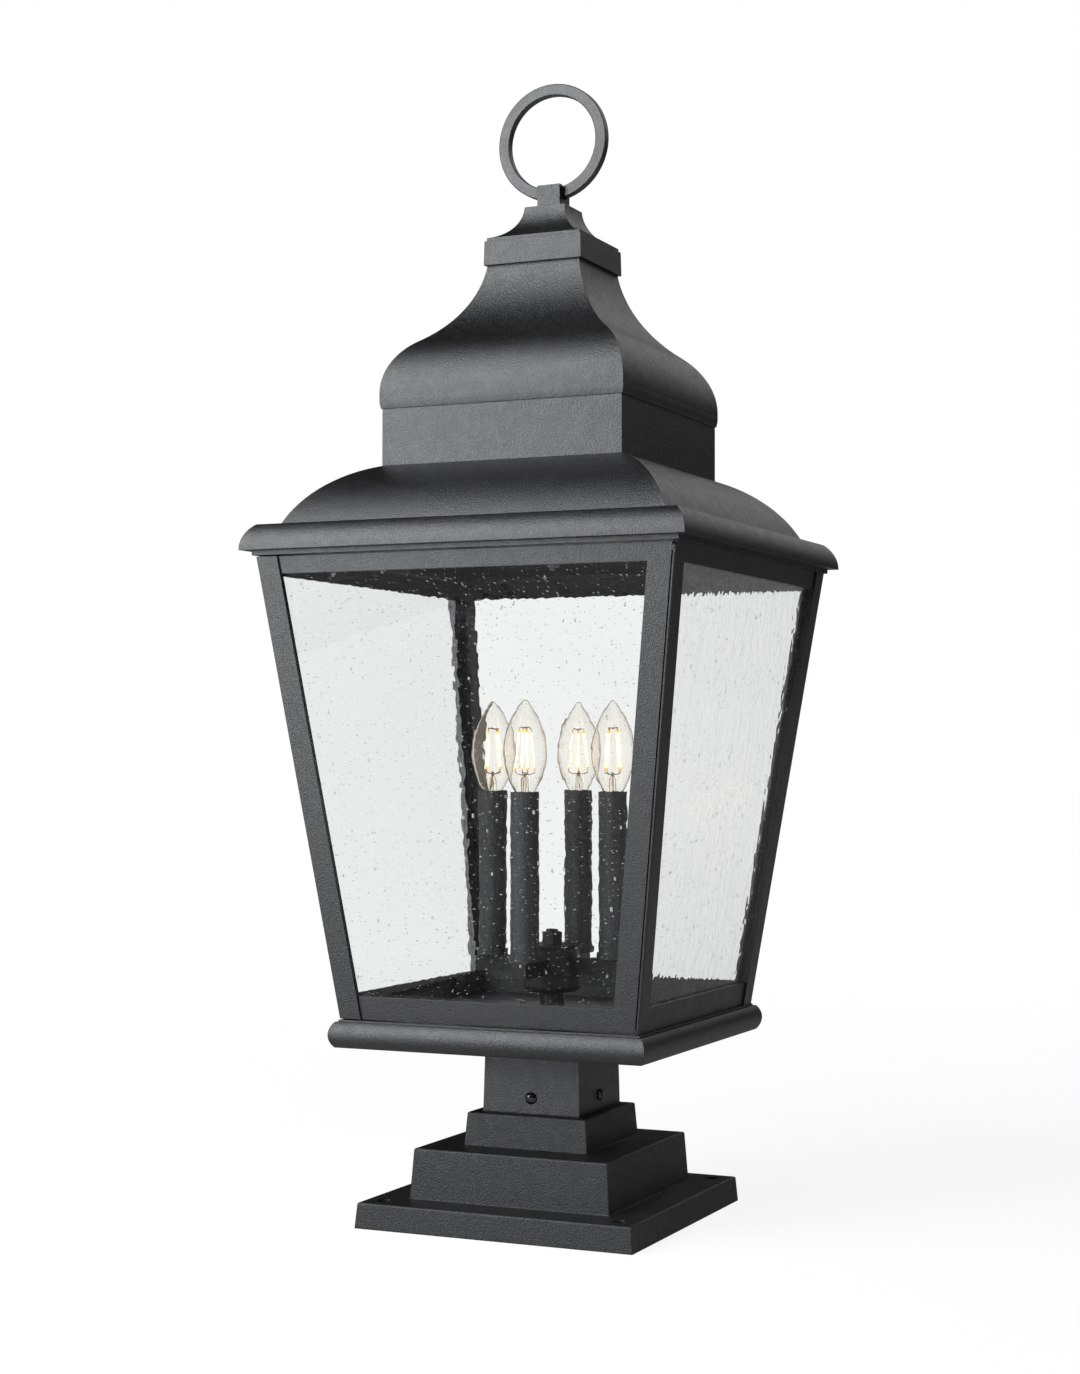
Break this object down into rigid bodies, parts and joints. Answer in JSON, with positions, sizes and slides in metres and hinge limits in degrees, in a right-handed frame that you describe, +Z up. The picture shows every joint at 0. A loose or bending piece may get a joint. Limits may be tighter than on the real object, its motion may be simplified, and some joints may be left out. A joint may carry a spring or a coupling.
{
  "type": "pier mount light",
  "caption": "Square pier mount lantern with a hinged seeded glass door, candle lamps, an ogee roof, a ring finial and a stepped bolt-down base.",
  "frame": {"origin": "middle of the base's foot, on the pier cap", "axes": "+Z up, -Y out of the door, +X towards the door's hinge"},
  "size_m": [0.371, 0.371, 0.9231],
  "materials": {
    "black_metal": "fine textured powder coat, charcoal black",
    "gloss_black": "gloss black screw",
    "plated_steel": "zinc plated",
    "seeded_glass": "clear seeded glass with small bubbles and waves",
    "bulb_glass": "clear blown glass",
    "bulb_base": "rolled screw cap",
    "filament": "lit warm white sticks",
    "magnet": "dark moulded",
    "socket_plastic": "moulded lamp socket"
  },
  "bodies": {
    "lantern": {"clamp_screws": "gloss_black", "door_catch": "magnet", "lamp_sockets": "socket_plastic", "pier_base": "black_metal", "post_stub": "black_metal", "neck_fitter": "black_metal", "bottom_moulding": "black_metal", "floor_plate": "black_metal", "right_frame": "black_metal", "back_frame": "black_metal", "left_frame": "black_metal", "back_right_cover_angle": "black_metal", "back_left_cover_angle": "black_metal", "left_cover_strip": "black_metal", "hinge_barrel": "black_metal", "seat_ring": "black_metal", "eave_moulding": "black_metal", "dome_roof": "black_metal", "upper_box": "black_metal", "ogee_roof": "black_metal", "collar": "black_metal", "finial_cap": "black_metal", "ring_stem": "black_metal", "finial_ring": "black_metal", "hub_bell": "black_metal", "arm_spider": "black_metal", "standoff": "black_metal", "candle_cups": "black_metal", "candle_sleeve_1": "black_metal", "candle_sleeve_2": "black_metal", "candle_sleeve_3": "black_metal", "candle_sleeve_4": "black_metal", "floor_screws": "plated_steel", "hinge_pin": "plated_steel", "glass_clips": "plated_steel", "roof_rod": "plated_steel", "rod_nuts": "plated_steel", "roof_crossbar": "plated_steel", "threaded_nipple": "plated_steel", "nipple_nuts": "plated_steel", "right_glass": "seeded_glass", "back_glass": "seeded_glass", "left_glass": "seeded_glass"},
    "door": {"door_frame": "black_metal", "door_cover_angle": "black_metal", "door_glass": "seeded_glass", "door_glass_clips": "plated_steel", "door_knuckles": "black_metal"},
    "bulb_1": {"bulb_base_1": "bulb_base", "bulb_glass_1": "bulb_glass", "bulb_filaments_1": "filament"},
    "bulb_2": {"bulb_base_2": "bulb_base", "bulb_glass_2": "bulb_glass", "bulb_filaments_2": "filament"},
    "bulb_3": {"bulb_base_3": "bulb_base", "bulb_glass_3": "bulb_glass", "bulb_filaments_3": "filament"},
    "bulb_4": {"bulb_base_4": "bulb_base", "bulb_glass_4": "bulb_glass", "bulb_filaments_4": "filament"}
  },
  "joints": [
    {"name": "door_hinge", "type": "hinge", "parent": "lantern", "child": "door", "pos_m": [0.1249, -0.1249, 0.1639], "axis": [0.1326, -0.1326, 0.9822], "range_deg": [0, 100]},
    {"name": "bulb_1_lift", "type": "slide", "parent": "lantern", "child": "bulb_1", "axis": [0, 0, 1], "range_m": [0, 0.034]},
    {"name": "bulb_2_lift", "type": "slide", "parent": "lantern", "child": "bulb_2", "axis": [0, 0, 1], "range_m": [0, 0.034]},
    {"name": "bulb_3_lift", "type": "slide", "parent": "lantern", "child": "bulb_3", "axis": [0, 0, 1], "range_m": [0, 0.034]},
    {"name": "bulb_4_lift", "type": "slide", "parent": "lantern", "child": "bulb_4", "axis": [0, 0, 1], "range_m": [0, 0.034]}
  ]
}
